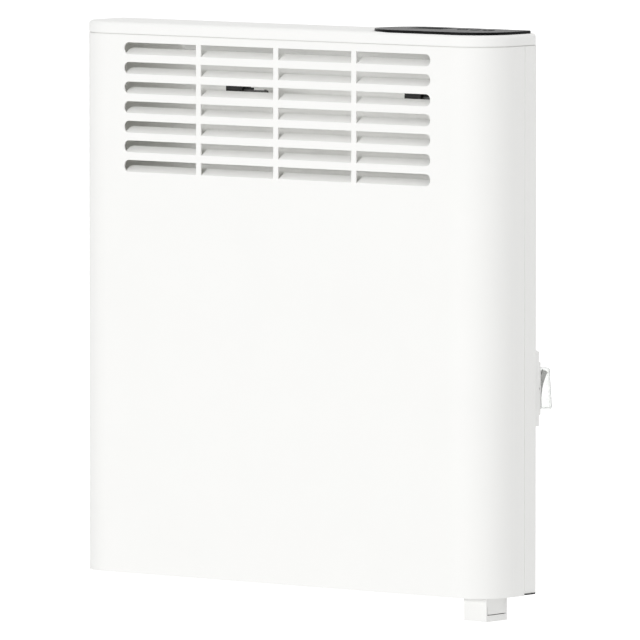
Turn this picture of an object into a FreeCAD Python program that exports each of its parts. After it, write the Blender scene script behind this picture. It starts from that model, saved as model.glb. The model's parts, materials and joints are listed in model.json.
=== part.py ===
import FreeCAD, Part
import os
import re
import PartDesign
import Sketcher

# Wall convector heater, in millimetres: x to the right, y towards the wall, z up.
# The wall is the plane y = 0. The origin is the middle of the bracket's four wall holes.
# Every sub-part is drawn with z counted from the casing's bottom edge and then lowered by hang_height.

SIZES = {
    # Whole heater
    "body_width": 430,
    "body_height": 451,
    "body_depth": 67,
    "corner_radius": 36,
    "wall_gap": 30,
    "hang_height": 270,
    "sheet_thickness": 1,
    "fit_gap": 0.3,
    # Front casing and its seams
    "casing_depth": 51,
    "cover_height": 9.3,
    "seam_gap": 0.7,
    "side_seam": 0.4,
    "rim_width": 10,
    # Louvred outlet
    "slot_pitch": 80.5,
    "bar_width": 5,
    "slot_height": 9.7,
    "slot_corner": 4.5,
    "row_pitch": 16,
    "row_count": 7,
    "grille_drop": 6.3,
    "louvre_angle": 57,
    "louvre_gap": 0.5,
    # Rear panel
    "bend_radius": 2,
    "rear_lift": 1,
    "lip_reach": 8,
    "lip_margin": 6,
    "bead_spread": 120,
    "bead_width": 12,
    "bead_rise": 1.6,
    "bead_margin": 50,
    "vent_length": 24,
    "vent_width": 3.5,
    "vent_pitch": 11,
    "vent_count": 9,
    "vent_inset": 26,
    "vent_bottom": 256,
    # Top cover
    "cover_wall": 2.2,
    "cover_edge": 3,
    "seam_depth": 1,
    "post_diameter": 7,
    "post_spread": 240,
    # Control unit on the right end of the top cover
    "panel_inset": 2,
    "panel_length": 129,
    "panel_corner": 6.3,
    "panel_proud": 2,
    "panel_sink": 0.6,
    "panel_edge": 0.5,
    "panel_row": 24,
    "panel_skirt": 6,
    "panel_wall": 1.6,
    "opening_length": 92,
    "opening_width": 30,
    "window_place": -22.5,
    "window_length": 34,
    "window_width": 20,
    "window_depth": 1.2,
    "window_ledge": 2,
    "lcd_depth": 7.2,
    "board_drop": 8,
    "board_length": 100,
    "board_width": 25,
    "board_thickness": 1.6,
    "board_post": 5,
    "board_post_spread": 84.2,
    "board_post_side": 10.9,
    # Keys
    "key_diameter": 10,
    "key_proud": 0.4,
    "key_travel": 0.8,
    "key_edge": 0.4,
    "key_flange": 1.2,
    "key_stem": 4,
    "key_menu_place": 9.5,
    "key_minus_place": 22.5,
    "key_plus_place": 35.5,
    "tact_side": 6,
    "tact_height": 3,
    "plunger_diameter": 3.2,
    # Mains switch on a box behind the right end of the rear panel
    "switch_height": 165,
    "switch_turn": 45,
    "box_inset": 2,
    "box_side": 5.5,
    "box_slope": 17.5,
    "box_length": 48,
    "box_height": 60,
    "box_wall": 2,
    "box_opening": 20,
    "frame_length": 43,
    "frame_width": 13.5,
    "frame_thickness": 1.6,
    "frame_edge": 0.8,
    "neck_length": 38,
    "neck_width": 13,
    "neck_depth": 5,
    "well_depth": 4.6,
    "barrel_length": 29.8,
    "barrel_width": 10.6,
    "barrel_depth": 16,
    "blade_width": 4.8,
    "blade_thickness": 0.8,
    "blade_length": 8,
    "blade_pitch": 10,
    "rocker_width": 10,
    "rocker_half": 14.5,
    "rocker_tip": 5.4,
    "rocker_hollow": 2,
    "rocker_tilt": 9.5,
    "rocker_root": 1.6,
    "rocker_root_half": 3.5,
    "pivot_depth": 0.4,
    "pivot_pin": 2.4,
    "pin_clearance": 0.05,
    "boot_wall": 0.8,
    "boot_width": 12.8,
    "boot_reach_top": 9,
    "boot_reach_bottom": 11,
    # Room sensor under the right end
    "sensor_inset": 30,
    "sensor_width": 23,
    "sensor_front": 25,
    "sensor_depth": 27,
    "sensor_drop": 20.5,
    "sensor_wall": 1.4,
    "sensor_collar": 8.3,
    "sensor_tongue": 6.3,
    "sensor_slit": 0.7,
    "sensor_neck": 12,
    "probe_diameter": 5,
    "probe_length": 10,
    # Hot bay: element, shields and intake
    "bay_width": 50,
    "intake_margin": 4,
    "element_height": 105,
    "element_inset": 30,
    "hub_diameter": 13,
    "arm_reach": 19,
    "arm_thickness": 2.4,
    "journal_diameter": 8,
    "journal_length": 12,
    "terminal_diameter": 4,
    "terminal_length": 9,
    "bracket_half": 26,
    "bracket_foot": 12,
    "shield_thickness": 0.6,
    "shield_gap": 8,
    "shield_inset": 14,
    "shield_bottom": 30,
    "shield_drop": 6,
    "shield_curve": 38,
    "notch_reach": 73,
    "notch_bottom": 315,
    "spacer_diameter": 9,
    "front_shield_gap": 11,
    "front_shield_bottom": 40,
    "front_shield_drop": 29,
    "front_shield_lip": 6,
    "intake_sheet": 0.8,
    "intake_inset": 3,
    "intake_slot": 6,
    "intake_slot_length": 28,
    "intake_pitch": 10,
    # Overheat cut-outs
    "cutout_margin": 42.6,
    "cutout_spacing": 184.4,
    "cutout_front": 14,
    "cutout_drop": 52,
    "cutout_length": 16.5,
    "cutout_depth": 12,
    "cutout_height": 14.5,
    "arm_length": 20,
    "arm_height": 1.8,
    "arm_sheet": 0.6,
    "arm_rise": 8.3,
    "rivet_diameter": 3,
    "stay_width": 12,
    # Electrics bay
    "power_board_bottom": 230,
    "power_board_length": 150,
    "power_board_width": 42,
    "stand_off": 6,
    "relay_length": 29,
    "relay_width": 13,
    "relay_height": 16,
    "transformer_length": 34,
    "transformer_width": 28,
    "transformer_height": 24,
    "core_leg": 6,
    "core_stack": 15,
    "terminal_block_length": 24,
    "terminal_block_width": 18,
    "terminal_block_height": 22,
    "terminal_block_place": 62,
    "terminal_bore": 4.2,
    "terminal_pitch": 7.6,
    "terminal_well": 6,
    "gland_inset": 25,
    "gland_height": 34,
    "gland_hole": 16,
    "gland_flange": 3,
    "gland_bore": 8.5,
    # Wall bracket, its hooks and the spacers
    "bracket_sheet": 1.5,
    "bracket_width": 260,
    "bracket_height": 220,
    "bracket_border": 45,
    "bracket_bend": 3,
    "hole_diameter": 6.5,
    "hole_spread_x": 200,
    "hole_spread_z": 180,
    "hook_spread": 160,
    "hook_notch": 2.5,
    "hook_lip": 4.5,
    "hook_rise": 9,
    "hook_root": 7,
    "hook_play": 1,
    "lift_travel": 12,
    "wall_spacer_inset": 65,
    "wall_spacer_height": 30,
    "wall_spacer_diameter": 16,
}

COLUMNS = 4
TOLERANCE = 1e-4

doc = FreeCAD.newDocument("wall_convector_heater")
sheet = doc.addObject("Spreadsheet::Sheet", "Sizes")
for row, (alias, number) in enumerate(SIZES.items(), start=1):
    cell = "A%d" % row
    sheet.set(cell, str(number))
    sheet.setAlias(cell, alias)
doc.recompute()

# Places that several sub-parts share
HALF = "(body_width / 2)"
FRONT = "(-wall_gap - body_depth)"
REAR = "(-wall_gap)"
SEAM = "(casing_depth - wall_gap - body_depth)"
INNER_HALF = "(body_width / 2 - sheet_thickness)"
INNER_FRONT = "(sheet_thickness - wall_gap - body_depth)"
INNER_REAR = "(-wall_gap - sheet_thickness)"
CASING_TOP = "(body_height - cover_height - seam_gap)"
COVER_BASE = "(body_height - cover_height)"
PARTITION = "(body_width / 2 - sheet_thickness - bay_width)"
SHIELD_BACK = "(-wall_gap - sheet_thickness - shield_gap)"
SHIELD_FACE = "(-wall_gap - sheet_thickness - shield_gap - shield_thickness)"
FRONT_SHIELD = "(sheet_thickness + front_shield_gap - wall_gap - body_depth)"
PANEL_MIDDLE = "(-wall_gap - panel_row)"
PANEL_CENTRE = "(body_width / 2 - panel_inset - panel_length / 2)"
PANEL_BASE = "(body_height - panel_sink)"
PANEL_TOP = "(body_height + panel_proud)"
WINDOW_CENTRE = "(%s + window_place)" % PANEL_CENTRE
BOX_SIDE = "(body_width / 2 - box_inset)"
BOX_KNEE = "(box_side - wall_gap)"
SWITCH_X = "(%s - box_slope / 2 * sin(switch_turn))" % BOX_SIDE
SWITCH_Y = "(%s + box_slope / 2 * cos(switch_turn))" % BOX_KNEE
SENSOR_PLACE = "(body_width / 2 - sensor_inset)"
GRILLE_LOW = "(%s - grille_drop - slot_height - row_pitch * (row_count - 1))" % CASING_TOP
FRONT_SHIELD_TOP = "(%s - front_shield_drop)" % GRILLE_LOW
SHIELD_TOP = "(%s - shield_drop)" % CASING_TOP
CUTOUT_BASE = "(%s - cutout_drop)" % CASING_TOP

nodes = []


def qualified(text):
    """The expression with every size named through the sheet."""
    return re.sub(r"[a-z_]+", lambda word: "Sizes." + word.group() if word.group() in SIZES else word.group(),
                  text)


def value(text):
    """The number that an expression of sizes comes to."""
    return float(sheet.evalExpression(qualified(text)))


def bind(item, name, text):
    """Tie a property to an expression of sizes."""
    item.setExpression(name, qualified(text))


def settle(item, label):
    """Name a finished sub-part and lower it from the casing's bottom edge to the wall holes."""
    item.Label = label
    bound = dict((path.lstrip("."), text) for path, text in item.ExpressionEngine)
    start = bound.get("Placement.Base.z", "0")
    item.setExpression("Placement.Base.z", "(%s) - Sizes.hang_height" % start)
    nodes.append(item)


def new_body(name):
    return doc.addObject("PartDesign::Body", name)


def origin_feature(body, role):
    return next(item for item in body.Origin.OriginFeatures if item.Role == role)


def new_sketch(body, name, plane, offset="0"):
    """A sketch on one of the body's own planes, moved along the plane's normal."""
    sketch = body.newObject("Sketcher::SketchObject", name)
    sketch.AttachmentSupport = (origin_feature(body, plane + "_Plane"), [""])
    sketch.MapMode = "FlatFace"
    bind(sketch, "AttachmentOffset.Base.z", offset)
    return sketch


def tilt_sketch(sketch, angle, rise):
    """Turn a sketch about its own x axis after moving it along its y axis."""
    turn = FreeCAD.Rotation(FreeCAD.Vector(1, 0, 0), value(angle))
    sketch.AttachmentOffset = FreeCAD.Placement(sketch.AttachmentOffset.Base, turn)
    bind(sketch, "AttachmentOffset.Rotation.Angle", angle)
    bind(sketch, "AttachmentOffset.Base.y", rise)


def dimension(sketch, kind, geometry, spot, text):
    """Tie one point's distance from the sketch origin to an expression."""
    number = sketch.addConstraint(Sketcher.Constraint(kind, -1, 1, geometry, spot, value(text)))
    sketch.setExpression("Constraints[%d]" % number, qualified(text))


def arc_between(start, end, radius, turn):
    """An arc under half a circle from start to end; turn is 1 to the left and -1 to the right."""
    if turn < 0:
        start, end = end, start
    chord = end - start
    side = FreeCAD.Vector(-chord.y, chord.x, 0).normalize()
    centre = (start + end) * 0.5 + side * max(radius ** 2 - chord.Length ** 2 / 4, 0) ** 0.5
    circle = Part.Circle(centre, FreeCAD.Vector(0, 0, 1), radius)
    return Part.ArcOfCircle(circle, circle.parameter(start), circle.parameter(end))


def add_loop(sketch, corners):
    """A closed outline. A corner is (x, y), or (x, y, radius, turn) where an arc leads to the next one."""
    spots = [FreeCAD.Vector(value(corner[0]), value(corner[1]), 0) for corner in corners]
    sides = []
    for index, corner in enumerate(corners):
        start = spots[index]
        end = spots[(index + 1) % len(corners)]
        if len(corner) == 2:
            sides.append((sketch.addGeometry(Part.LineSegment(start, end)), 1, 2))
        else:
            ends = (1, 2) if corner[3] > 0 else (2, 1)
            arc = arc_between(start, end, value(corner[2]), corner[3])
            sides.append((sketch.addGeometry(arc),) + ends)
    for index, side in enumerate(sides):
        after = sides[(index + 1) % len(sides)]
        sketch.addConstraint(Sketcher.Constraint("Coincident", side[0], side[2], after[0], after[1]))
    for side, corner in zip(sides, corners):
        dimension(sketch, "DistanceX", side[0], side[1], corner[0])
        dimension(sketch, "DistanceY", side[0], side[1], corner[1])
        if len(corner) > 2:
            number = sketch.addConstraint(Sketcher.Constraint("Radius", side[0], value(corner[2])))
            sketch.setExpression("Constraints[%d]" % number, qualified(corner[2]))


def add_circle(sketch, x, y, radius):
    centre = FreeCAD.Vector(value(x), value(y), 0)
    circle = sketch.addGeometry(Part.Circle(centre, FreeCAD.Vector(0, 0, 1), value(radius)))
    dimension(sketch, "DistanceX", circle, 3, x)
    dimension(sketch, "DistanceY", circle, 3, y)
    number = sketch.addConstraint(Sketcher.Constraint("Radius", circle, value(radius)))
    sketch.setExpression("Constraints[%d]" % number, qualified(radius))


def rectangle(left, right, low, high):
    return [(left, low), (right, low), (right, high), (left, high)]


def extrude(body, kind, name, sketch, length, backwards=False):
    """A Pad or a Pocket of one sketch."""
    feature = body.newObject("PartDesign::" + kind, name)
    feature.Profile = sketch
    feature.AllowMultiFace = True
    feature.Reversed = backwards
    bind(feature, "Length", length)
    doc.recompute()
    return feature


def pad(body, name, sketch, length, backwards=False):
    return extrude(body, "Pad", name, sketch, length, backwards)


def pocket(body, name, sketch, length, backwards=False):
    """A Pocket that has to take material away."""
    before = body.Tip.Shape.Volume
    feature = extrude(body, "Pocket", name, sketch, length, backwards)
    if feature.Shape.Volume > before - TOLERANCE:
        raise RuntimeError(name + " cuts nothing")
    return feature


def revolve(body, name, sketch):
    """A full turn of a sketch about its own vertical axis."""
    feature = body.newObject("PartDesign::Revolution", name)
    feature.Profile = sketch
    feature.ReferenceAxis = (sketch, ["V_Axis"])
    feature.Angle = 360
    doc.recompute()
    return feature


def round_edges(body, name, radius, wanted):
    """Fillet those edges of the body so far that wanted picks."""
    base = body.Tip
    picked = ["Edge%d" % number for number, edge in enumerate(base.Shape.Edges, 1) if wanted(edge)]
    feature = body.newObject("PartDesign::Fillet", name)
    feature.Base = (base, picked)
    bind(feature, "Radius", radius)
    doc.recompute()
    return feature


def hollow(body, name, wall, wanted):
    """Shell the body inwards, open at the faces that wanted picks."""
    base = body.Tip
    picked = ["Face%d" % number for number, face in enumerate(base.Shape.Faces, 1) if wanted(face)]
    feature = body.newObject("PartDesign::Thickness", name)
    feature.Base = (base, picked)
    feature.Reversed = True
    bind(feature, "Value", wall)
    doc.recompute()
    return feature


def repeat(body, name, features, axis, spacing, count, backwards=False):
    """A row of copies along one of the body's axes."""
    feature = body.newObject("PartDesign::LinearPattern", name)
    feature.Originals = features
    feature.Direction = (origin_feature(body, axis + "_Axis"), [""])
    feature.Mode = "Spacing"
    feature.Reversed = backwards
    bind(feature, "Offset", spacing)
    bind(feature, "Occurrences", count)
    body.Tip = feature
    doc.recompute()
    return feature


def mirror(body, name, features):
    """The same features on the other side of x = 0."""
    feature = body.newObject("PartDesign::Mirrored", name)
    feature.Originals = features
    feature.MirrorPlane = (origin_feature(body, "YZ_Plane"), [""])
    body.Tip = feature
    doc.recompute()
    return feature


def near(first, second):
    return abs(first - second) < TOLERANCE


def vertical_at(y):
    """Picks the upright edges in the plane of that y."""
    plane = value(y)
    return lambda edge: (near(edge.BoundBox.XLength, 0) and near(edge.BoundBox.YMin, plane)
                         and near(edge.BoundBox.YMax, plane))


def level_at(z):
    """Picks the edges or faces that lie flat at that z."""
    plane = value(z)
    return lambda item: near(item.BoundBox.ZMin, plane) and near(item.BoundBox.ZMax, plane)


def facing_at(y):
    """Picks the faces that stand in the plane of that y."""
    plane = value(y)
    return lambda face: near(face.BoundBox.YMin, plane) and near(face.BoundBox.YMax, plane)


def place(item, x, y, z):
    bind(item, "Placement.Base.x", x)
    bind(item, "Placement.Base.y", y)
    bind(item, "Placement.Base.z", z)


def block(name, x, y, z, length, width, height):
    """A box from its lowest corner."""
    item = doc.addObject("Part::Box", name)
    bind(item, "Length", length)
    bind(item, "Width", width)
    bind(item, "Height", height)
    place(item, x, y, z)
    return item


def rod(name, axis, x, y, z, diameter, length):
    """A cylinder from the middle of its first end, along +x, -y or +z."""
    item = doc.addObject("Part::Cylinder", name)
    turns = {
        "x": FreeCAD.Rotation(FreeCAD.Vector(0, 1, 0), 90),
        "-y": FreeCAD.Rotation(FreeCAD.Vector(1, 0, 0), 90),
        "z": FreeCAD.Rotation(),
    }
    item.Placement = FreeCAD.Placement(FreeCAD.Vector(), turns[axis])
    bind(item, "Radius", "(%s) / 2" % diameter)
    bind(item, "Height", length)
    place(item, x, y, z)
    return item


def fuse(name, shapes):
    item = doc.addObject("Part::MultiFuse", name)
    item.Shapes = shapes
    return item


def group(name, items):
    """Separate solids under one name."""
    item = doc.addObject("Part::Compound", name)
    item.Links = items
    return item


def casing_corner(inset):
    return "(corner_radius - %s)" % inset


def rounded_front(half, front, back, radius):
    """A plan outline, square behind and with two rounded corners in front."""
    return [
        ("(-%s)" % half, "%s + %s" % (front, radius), radius, 1),
        ("(-%s) + %s" % (half, radius), front),
        ("%s - %s" % (half, radius), front, radius, 1),
        (half, "%s + %s" % (front, radius)),
        (half, back),
        ("(-%s)" % half, back),
    ]


def louvre_columns():
    """The left and right ends of the four slots in one row."""
    ends = []
    for column in range(COLUMNS):
        middle = "(%g * slot_pitch)" % (column - (COLUMNS - 1) / 2)
        ends.append(("(%s - slot_pitch / 2 + bar_width / 2)" % middle,
                     "(%s + slot_pitch / 2 - bar_width / 2)" % middle))
    return ends


def slot_outline(column, low, high, gap, corner):
    """One slot or louvre: its upper corner is rounded on the outer ends of the row."""
    left, right = louvre_columns()[column]
    left = "(%s + %s)" % (left, gap)
    right = "(%s - %s)" % (right, gap)
    outline = [(left, low), (right, low)]
    if column == COLUMNS - 1:
        outline += [(right, "%s - %s" % (high, corner), corner, 1), ("%s - %s" % (right, corner), high)]
    else:
        outline += [(right, high)]
    if column == 0:
        outline += [("%s + %s" % (left, corner), high, corner, 1), (left, "%s - %s" % (high, corner))]
    else:
        outline += [(left, high)]
    return outline


def make_front_casing():
    """Folded wrap: plain front, two large corners, rims above and below, and the louvred outlet."""
    body = new_body("front_casing")
    back = SEAM + " - side_seam"
    plan = new_sketch(body, "casing_plan", "XY")
    add_loop(plan, rectangle("(-%s)" % HALF, HALF, FRONT, back))
    pad(body, "casing_block", plan, CASING_TOP)
    round_edges(body, "casing_corners", "corner_radius", vertical_at(FRONT))
    hollow(body, "casing_shell", "sheet_thickness", facing_at(back))

    rim = new_sketch(body, "top_rim", "XY", CASING_TOP)
    add_loop(rim, rounded_front("(%s - rim_width)" % HALF, "(%s + rim_width)" % FRONT, SEAM,
                                casing_corner("rim_width")))
    pocket(body, "top_opening", rim, "2 * sheet_thickness")

    left = "(rim_width - %s)" % HALF
    intake = new_sketch(body, "intake_rim", "XY")
    add_loop(intake, [
        (left, FRONT + " + corner_radius", casing_corner("rim_width"), 1),
        (left + " + " + casing_corner("rim_width"), FRONT + " + rim_width"),
        (PARTITION + " - intake_margin", FRONT + " + rim_width"),
        (PARTITION + " - intake_margin", SEAM),
        (left, SEAM),
    ])
    middle = "(sensor_front + sensor_depth / 2 + %s)" % FRONT
    add_loop(intake, rectangle(SENSOR_PLACE + " - sensor_neck / 2", SENSOR_PLACE + " + sensor_neck / 2",
                               middle + " - sensor_neck / 2", middle + " + sensor_neck / 2"))
    pocket(body, "intake_opening", intake, "2 * sheet_thickness", backwards=True)

    slot_top = "(%s - grille_drop)" % CASING_TOP
    slot_low = "(%s - grille_drop - slot_height)" % CASING_TOP
    slots = new_sketch(body, "slot_row", "XZ", "wall_gap + body_depth")
    louvres = new_sketch(body, "louvre_row", "XZ", "wall_gap + body_depth")
    tilt_sketch(louvres, "-louvre_angle", slot_low)
    for column in range(COLUMNS):
        add_loop(slots, slot_outline(column, slot_low, slot_top, "0", "slot_corner"))
        add_loop(louvres, slot_outline(column, "0", "(slot_height - louvre_gap)", "louvre_gap",
                                       "(slot_corner - louvre_gap)"))
    openings = pocket(body, "slots", slots, "2 * sheet_thickness")
    flaps = pad(body, "louvres", louvres, "sheet_thickness", backwards=True)
    repeat(body, "louvre_rows", [openings, flaps], "Z", "row_pitch", "row_count", backwards=True)
    settle(body, "front_casing")


def make_rear_panel():
    """Folded tray. Its side flanges are the rear strip, with a lip under the casing on each side."""
    body = new_body("rear_panel")
    plan = new_sketch(body, "panel_plan", "XY", "rear_lift")
    add_loop(plan, rectangle("(-%s)" % HALF, HALF, SEAM, REAR))
    pad(body, "panel_block", plan, CASING_TOP + " - rear_lift")
    round_edges(body, "panel_bends", "bend_radius", vertical_at(REAR))
    front = facing_at(SEAM)
    bottom = level_at("rear_lift")
    hollow(body, "panel_shell", "sheet_thickness", lambda face: front(face) or bottom(face))

    lip = new_sketch(body, "lip_plan", "XY", "lip_margin")
    add_loop(lip, rectangle(INNER_HALF + " - sheet_thickness", INNER_HALF,
                            SEAM + " - lip_reach", SEAM + " + lip_reach"))
    right_lip = pad(body, "right_lip", lip, CASING_TOP + " - 2 * lip_margin")
    mirror(body, "left_lip", [right_lip])

    slots = new_sketch(body, "rear_slots", "XZ", "wall_gap")
    outer = "(bracket_width / 2 + hook_play)"
    inner = "(bracket_width / 2 - bracket_sheet - hook_play)"
    for side in (-1, 1):
        for level in (-1, 1):
            notch = "(hang_height + %d * hook_spread / 2)" % level
            ends = sorted(("(%d * %s)" % (side, inner), "(%d * %s)" % (side, outer)), key=value)
            add_loop(slots, rectangle(ends[0], ends[1], notch + " - hook_root - lift_travel - hook_play",
                                      notch + " + fit_gap"))
    add_circle(slots, HALF + " - gland_inset", "gland_height", "gland_hole / 2")
    end = SWITCH_X + " - 2 * box_wall"
    add_loop(slots, rectangle(end + " - box_opening", end, "switch_height - neck_length / 2",
                              "switch_height + neck_length / 2"))
    pocket(body, "rear_openings", slots, "2 * sheet_thickness", backwards=True)

    vent = new_sketch(body, "vent_plan", "XZ", "wall_gap")
    vent_middle = "(%s - vent_inset)" % HALF
    add_loop(vent, rectangle(vent_middle + " - vent_length / 2", vent_middle + " + vent_length / 2",
                             "vent_bottom", "vent_bottom + vent_width"))
    first = pocket(body, "first_vent", vent, "2 * sheet_thickness", backwards=True)
    repeat(body, "vents", [first], "Z", "vent_pitch", "vent_count")

    ridge = new_sketch(body, "bead_plan", "XZ", "wall_gap")
    groove = new_sketch(body, "groove_plan", "XZ", "wall_gap + sheet_thickness")
    for side in (-1, 1):
        middle = "(%d * bead_spread / 2)" % side
        for sketch, inset in ((ridge, "0"), (groove, "sheet_thickness")):
            add_loop(sketch, rectangle(middle + " - bead_width / 2 + " + inset,
                                       middle + " + bead_width / 2 - " + inset,
                                       "rear_lift + bead_margin + " + inset,
                                       CASING_TOP + " - bead_margin - " + inset))
    pad(body, "beads", ridge, "bead_rise", backwards=True)
    pocket(body, "grooves", groove, "bead_rise")
    settle(body, "rear_panel")


def panel_outline(grow):
    """The control unit's outline: half round at the left, and along the cover's own corners at the right."""
    inset = "(panel_inset - %s)" % grow
    low = "(%s + %s)" % (FRONT, inset)
    high = "(%s - %s)" % (REAR, inset)
    right = "(%s - %s)" % (HALF, inset)
    bow = "(body_depth / 2 - %s)" % inset
    start = "(%s - panel_length + body_depth / 2 - 2 * panel_inset)" % HALF
    front_corner = casing_corner(inset)
    rear_corner = "(panel_corner + %s)" % grow
    return [
        (start, low),
        ("%s - %s" % (right, front_corner), low, front_corner, 1),
        (right, "%s + %s" % (low, front_corner)),
        (right, "%s - %s" % (high, rear_corner), rear_corner, 1),
        ("%s - %s" % (right, rear_corner), high),
        (start, high, bow, 1),
        ("%s - %s" % (start, bow), "(%s + %s) / 2" % (low, high), bow, 1),
    ]


def panel_window(length, width):
    """A rectangle round the middle of the control unit's opening."""
    return rectangle("%s - (%s) / 2" % (PANEL_CENTRE, length), "%s + (%s) / 2" % (PANEL_CENTRE, length),
                     "%s - (%s) / 2" % (PANEL_MIDDLE, width), "%s + (%s) / 2" % (PANEL_MIDDLE, width))


def display(margin):
    """The display's rectangle, grown by a margin."""
    return rectangle("%s - window_length / 2 - %s" % (WINDOW_CENTRE, margin),
                     "%s + window_length / 2 + %s" % (WINDOW_CENTRE, margin),
                     "%s - window_width / 2 - %s" % (PANEL_MIDDLE, margin),
                     "%s + window_width / 2 + %s" % (PANEL_MIDDLE, margin))


def make_top_cover():
    """Moulded cap with a soft top edge, a seat for the control unit, and a rib and posts on the rims."""
    body = new_body("top_cover")
    plan = new_sketch(body, "cover_plan", "XY", COVER_BASE)
    add_loop(plan, rounded_front(HALF, FRONT, REAR, "corner_radius"))
    pad(body, "cover_block", plan, "cover_height")
    round_edges(body, "cover_back", "cover_edge", vertical_at(REAR))
    hollow(body, "cover_shell", "cover_wall", level_at(COVER_BASE))
    round_edges(body, "cover_soft_edge", "cover_edge", level_at("body_height"))

    seat = new_sketch(body, "panel_seat", "XY", "body_height")
    add_loop(seat, panel_outline("fit_gap"))
    pocket(body, "seat", seat, "panel_sink")
    opening = new_sketch(body, "cover_opening", "XY", "body_height")
    add_loop(opening, panel_window("opening_length", "opening_width"))
    pocket(body, "opening", opening, "2 * cover_wall")

    rib = new_sketch(body, "rib_plan", "XY", CASING_TOP)
    for inset in ("seam_depth", "cover_wall"):
        add_loop(rib, rounded_front("(%s - %s)" % (HALF, inset), "(%s + %s)" % (FRONT, inset),
                                    "(%s - %s)" % (REAR, inset), casing_corner(inset)))
    pad(body, "rib", rib, "seam_gap")
    posts = new_sketch(body, "post_plan", "XY", CASING_TOP)
    for side in (-1, 1):
        for y in (FRONT + " + rim_width / 2", REAR + " - rim_width / 2"):
            add_circle(posts, "%d * post_spread / 2" % side, y, "post_diameter / 2")
    pad(body, "posts", posts, "cover_height + seam_gap - cover_wall / 2")
    settle(body, "top_cover")


KEYS = ("menu", "minus", "plus")
KEY_UNDER = "(-panel_proud - panel_sink - fit_gap)"
KEY_FOOT = "(%s + %s - 2 * key_flange)" % (PANEL_TOP, KEY_UNDER)


def make_control_bezel():
    """Black plate over the whole depth of the cover, a skirt through it and posts for the board."""
    body = new_body("control_bezel")
    plan = new_sketch(body, "bezel_plan", "XY", PANEL_BASE)
    add_loop(plan, panel_outline("0"))
    pad(body, "bezel_block", plan, "panel_proud + panel_sink")
    round_edges(body, "bezel_soft_edge", "panel_edge", level_at(PANEL_TOP))

    skirt = new_sketch(body, "skirt_plan", "XY", PANEL_BASE)
    for wall in ("2 * fit_gap", "2 * (fit_gap + panel_wall)"):
        add_loop(skirt, panel_window("opening_length - %s" % wall, "opening_width - %s" % wall))
    pad(body, "skirt", skirt, "panel_skirt", backwards=True)
    posts = new_sketch(body, "board_posts", "XY", PANEL_BASE)
    for x_side in (-1, 1):
        for y_side in (-1, 1):
            add_circle(posts, "%s + %d * board_post_spread / 2" % (PANEL_CENTRE, x_side),
                       "%s + %d * board_post_side" % (PANEL_MIDDLE, y_side), "board_post / 2")
    pad(body, "posts", posts, "board_drop - panel_sink", backwards=True)

    seat = new_sketch(body, "window_seat", "XY", PANEL_TOP)
    add_loop(seat, display("0"))
    pocket(body, "window_recess", seat, "window_depth")
    through = new_sketch(body, "window_through", "XY", PANEL_TOP)
    add_loop(through, display("(-window_ledge)"))
    for key in KEYS:
        add_circle(through, PANEL_CENTRE + " + key_%s_place" % key, PANEL_MIDDLE,
                   "key_diameter / 2 + fit_gap")
    pocket(body, "face_openings", through, "panel_proud + panel_sink")
    settle(body, "control_bezel")


def make_display_window():
    """Dark window, flush in the recess of the plate."""
    body = new_body("display_window")
    plan = new_sketch(body, "window_plan", "XY", PANEL_TOP + " - window_depth")
    add_loop(plan, display("(-fit_gap / 2)"))
    pad(body, "window_sheet", plan, "window_depth - fit_gap / 3")
    settle(body, "display_window")


def make_control_board():
    """Board under the plate, with the display module and one push switch under each key."""
    top = "(body_height - board_drop)"
    board = block("control_board", PANEL_CENTRE + " - board_length / 2", PANEL_MIDDLE + " - board_width / 2",
                  top + " - board_thickness", "board_length", "board_width", "board_thickness")
    settle(board, "control_board")
    lcd = block("lcd_module", WINDOW_CENTRE + " - window_length / 2 + window_ledge",
                PANEL_MIDDLE + " - window_width / 2 + window_ledge", top,
                "window_length - 2 * window_ledge", "window_width - 2 * window_ledge", "lcd_depth")
    settle(lcd, "lcd_module")
    switches = []
    for key in KEYS:
        x = PANEL_CENTRE + " + key_%s_place" % key
        case = block("tact_case_" + key, x + " - tact_side / 2", PANEL_MIDDLE + " - tact_side / 2", top,
                     "tact_side", "tact_side", "tact_height")
        plunger = rod("plunger_" + key, "z", x, PANEL_MIDDLE, top, "plunger_diameter",
                      "%s - key_travel - fit_gap - %s" % (KEY_FOOT, top))
        switches.append(fuse("tact_" + key, [case, plunger]))
    settle(group("key_switches", switches), "key_switches")


def make_keys():
    """Round keys in the plate, each kept in by a flange under it."""
    for key in KEYS:
        body = new_body("key_" + key)
        section = new_sketch(body, "key_section_" + key, "XZ")
        add_loop(section, [
            ("0", KEY_UNDER + " - 2 * key_flange"),
            ("key_stem / 2", KEY_UNDER + " - 2 * key_flange"),
            ("key_stem / 2", KEY_UNDER + " - key_flange"),
            ("key_diameter / 2 + key_flange", KEY_UNDER + " - key_flange"),
            ("key_diameter / 2 + key_flange", KEY_UNDER),
            ("key_diameter / 2", KEY_UNDER),
            ("key_diameter / 2", "key_proud - key_edge"),
            ("key_diameter / 2 - key_edge", "key_proud"),
            ("0", "key_proud"),
        ])
        revolve(body, "key_form_" + key, section)
        place(body, PANEL_CENTRE + " + key_%s_place" % key, PANEL_MIDDLE, PANEL_TOP)
        settle(body, "key_" + key)


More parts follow.
